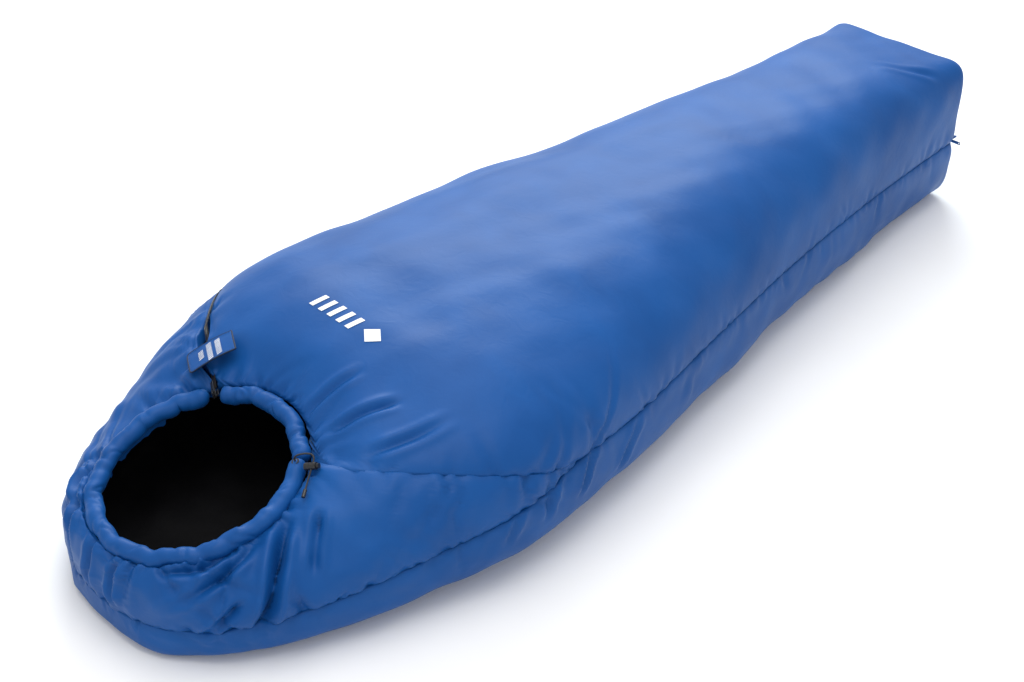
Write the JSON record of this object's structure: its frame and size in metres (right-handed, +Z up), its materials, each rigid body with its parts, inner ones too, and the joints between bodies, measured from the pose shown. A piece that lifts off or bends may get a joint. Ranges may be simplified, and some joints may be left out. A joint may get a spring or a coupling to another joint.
{
  "type": "mummy sleeping bag",
  "caption": "Filled-out mummy sleeping bag with a contoured hood, padded drawcord rim, folding top quilt, two-way zip, hook-and-loop tab and spring cord lock.",
  "frame": {"origin": "centre of the footprint, on the ground under the bag", "axes": "+Y along the bag towards the foot, +X to the sleeper's right, +Z up"},
  "size_m": [0.8166, 2.2022, 0.3732],
  "materials": {
    "shell_fabric": "satin woven polyester, royal blue",
    "lining_fabric": "matt black woven lining",
    "insulation": "white hollow-fibre wadding",
    "zip_tape": "black woven tape",
    "zip_coil": "black nylon coil",
    "black_plastic": "black moulded plastic",
    "cord": "black braided cord",
    "hook_and_loop": "black hook and loop tape",
    "metal": "polished zinc"
  },
  "bodies": {
    "bag": {"base_shell": "shell_fabric", "base_lining": "lining_fabric", "quilt_side_shell": "shell_fabric", "quilt_side_lining": "lining_fabric", "base_head_insulation": "insulation", "base_torso_insulation": "insulation", "base_leg_insulation": "insulation", "base_foot_insulation": "insulation", "quilt_side_insulation": "insulation", "hood_crown_shell": "shell_fabric", "hood_right_shell": "shell_fabric", "hood_left_shell": "shell_fabric", "hood_insulation": "insulation", "hood_lining": "lining_fabric", "rim_tube_hood": "shell_fabric", "hood_drawcord": "cord", "drawcord_tail": "cord", "drawcord_eyelet": "black_plastic", "cord_end": "black_plastic", "zip_tape_base": "zip_tape", "zip_coil_base": "zip_coil", "zip_tape_side": "zip_tape", "zip_coil_side": "zip_coil", "zip_draft_tube": "lining_fabric", "tab_loop_patch": "hook_and_loop"},
    "quilt": {"quilt_flap_shell": "shell_fabric", "quilt_flap_insulation": "insulation", "quilt_flap_lining": "lining_fabric", "rim_tube_quilt": "shell_fabric", "zip_tape_quilt": "zip_tape", "zip_coil_quilt": "zip_coil"},
    "tab": {"tab_flap": "shell_fabric", "tab_hook_patch": "hook_and_loop"},
    "side_slider": {"side_zip_slider": "black_plastic"},
    "side_pull": {"side_zip_pull": "black_plastic"},
    "foot_slider": {"foot_zip_slider": "metal"},
    "foot_pull": {"foot_zip_pull": "metal"},
    "cord_lock": {"cord_lock_body": "black_plastic", "cord_lock_spring": "metal"},
    "lock_button": {"cord_lock_button": "black_plastic"}
  },
  "joints": [
    {"name": "quilt_fold", "type": "hinge", "parent": "bag", "child": "quilt", "pos_m": [0.135, 0, 0.376], "axis": [0, 1, 0], "range_deg": [0, 150]},
    {"name": "tab_peel", "type": "hinge", "parent": "quilt", "child": "tab", "pos_m": [-0.15, -0.69105, 0.296], "axis": [-0.8742, 0.4856, 0], "range_deg": [0, 120]},
    {"name": "side_slider_run", "type": "slide", "parent": "bag", "child": "side_slider", "axis": [-0.8433, 0.5073, 0.1774], "range_m": [0, 0.12]},
    {"name": "side_pull_swing", "type": "hinge", "parent": "side_slider", "child": "side_pull", "pos_m": [-0.11903, -0.76588, 0.23696], "axis": [0.4032, 0.379, 0.833], "range_deg": [0, 150]},
    {"name": "foot_slider_run", "type": "slide", "parent": "bag", "child": "foot_slider", "axis": [-1, 0, 0], "range_m": [0, 0.28]},
    {"name": "foot_pull_swing", "type": "hinge", "parent": "foot_slider", "child": "foot_pull", "pos_m": [0.1525, 1.0987, 0.148], "axis": [0, 0, 1], "range_deg": [0, 160]},
    {"name": "cord_lock_run", "type": "slide", "parent": "bag", "child": "cord_lock", "axis": [0.5387, -0.7717, -0.3382], "range_m": [0, 0.025]},
    {"name": "lock_button_press", "type": "slide", "parent": "cord_lock", "child": "lock_button", "axis": [-0.838, -0.4491, -0.31], "range_m": [0, 0.0035], "stiffness_N_per_m": 300, "deforming": ["cord_lock_spring"]}
  ]
}
